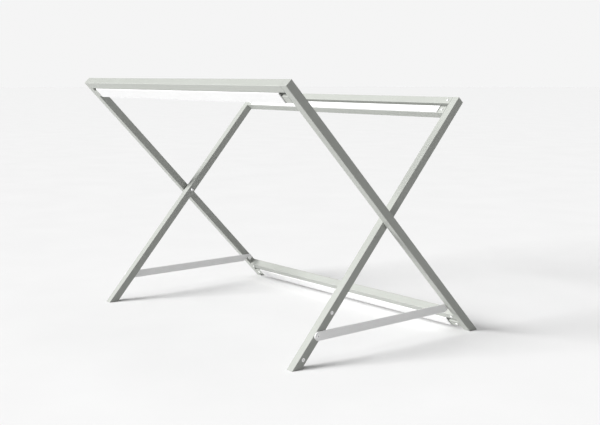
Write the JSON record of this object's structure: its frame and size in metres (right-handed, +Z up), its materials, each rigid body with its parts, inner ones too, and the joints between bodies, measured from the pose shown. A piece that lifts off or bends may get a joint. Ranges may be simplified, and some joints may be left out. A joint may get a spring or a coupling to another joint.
{
  "type": "folding sawhorse",
  "caption": "Folding steel sawhorse of two crossed square-tube frames on a mid-height pivot, with a high front rail, a lower back rail, a stretcher and hook-on tie bars.",
  "frame": {"origin": "on the floor, under the middle of the bounding box", "axes": "+X along the rails, +Y from the higher rail's side to the lower rail's side, +Z up"},
  "size_m": [1.09, 0.7538, 0.7707],
  "materials": {
    "painted_steel": "light grey powder coat, satin",
    "zinc_steel": "zinc plated",
    "white_steel": "white powder coat, satin",
    "white_plastic": "white, satin",
    "grey_plastic": "grey, moulded",
    "nylon": "natural nylon"
  },
  "bodies": {
    "frame_a": {"leg_a_right": "painted_steel", "leg_a_left": "painted_steel", "foot_a_right": "grey_plastic", "foot_a_left": "grey_plastic", "end_cap_a_right": "grey_plastic", "end_cap_a_left": "grey_plastic", "spigot_rail_a_upper_right": "painted_steel", "spigot_rail_a_upper_left": "painted_steel", "spigot_rail_a_lower_right": "painted_steel", "spigot_rail_a_lower_left": "painted_steel", "spigot_stretcher_upper_right": "painted_steel", "spigot_stretcher_upper_left": "painted_steel", "spigot_stretcher_lower_right": "painted_steel", "spigot_stretcher_lower_left": "painted_steel", "pivot_stud_right": "zinc_steel", "pivot_stud_left": "zinc_steel", "pivot_spacer_right": "nylon", "pivot_spacer_left": "nylon", "pivot_washer_right": "zinc_steel", "pivot_washer_left": "zinc_steel", "pivot_nut_right": "zinc_steel", "pivot_nut_left": "zinc_steel", "hook_stud_right": "zinc_steel", "hook_stud_left": "zinc_steel", "rail_a_upper": "painted_steel", "rail_a_lower": "painted_steel", "stretcher_upper": "painted_steel", "stretcher_lower": "painted_steel", "rail_a_screws": "zinc_steel", "stretcher_screws": "zinc_steel", "facing_strip_a": "white_plastic", "facing_strip_stretcher": "white_plastic"},
    "frame_b": {"leg_b_right": "painted_steel", "leg_b_left": "painted_steel", "foot_b_right": "grey_plastic", "foot_b_left": "grey_plastic", "end_cap_b_right": "grey_plastic", "end_cap_b_left": "grey_plastic", "spigot_rail_b_upper_right": "painted_steel", "spigot_rail_b_upper_left": "painted_steel", "spigot_rail_b_lower_right": "painted_steel", "spigot_rail_b_lower_left": "painted_steel", "leg_insert_right": "nylon", "leg_insert_left": "nylon", "insert_screws_right": "zinc_steel", "insert_screws_left": "zinc_steel", "pivot_bush_right": "nylon", "pivot_bush_left": "nylon", "tie_bar_screw_right": "zinc_steel", "tie_bar_screw_left": "zinc_steel", "tie_bar_washer_right": "zinc_steel", "tie_bar_washer_left": "zinc_steel", "rail_b_upper": "painted_steel", "rail_b_lower": "painted_steel", "rail_b_screws": "zinc_steel", "facing_strip_b": "white_plastic"},
    "tie_bar_right": {"tie_bar_right": "white_steel"},
    "tie_bar_left": {"tie_bar_left": "white_steel"}
  },
  "joints": [
    {"name": "fold", "type": "hinge", "parent": "frame_a", "child": "frame_b", "pos_m": [0, 0.00848, 0.368], "axis": [1, 0, 0], "range_deg": [0, 81.5]},
    {"name": "tie_bar_right_swing", "type": "hinge", "parent": "frame_b", "child": "tie_bar_right", "pos_m": [0.518, -0.24634, 0.082], "axis": [1, 0, 0], "range_deg": [0, 44]},
    {"name": "tie_bar_left_swing", "type": "hinge", "parent": "frame_b", "child": "tie_bar_left", "pos_m": [-0.518, -0.24634, 0.082], "axis": [1, 0, 0], "range_deg": [0, 44]}
  ]
}
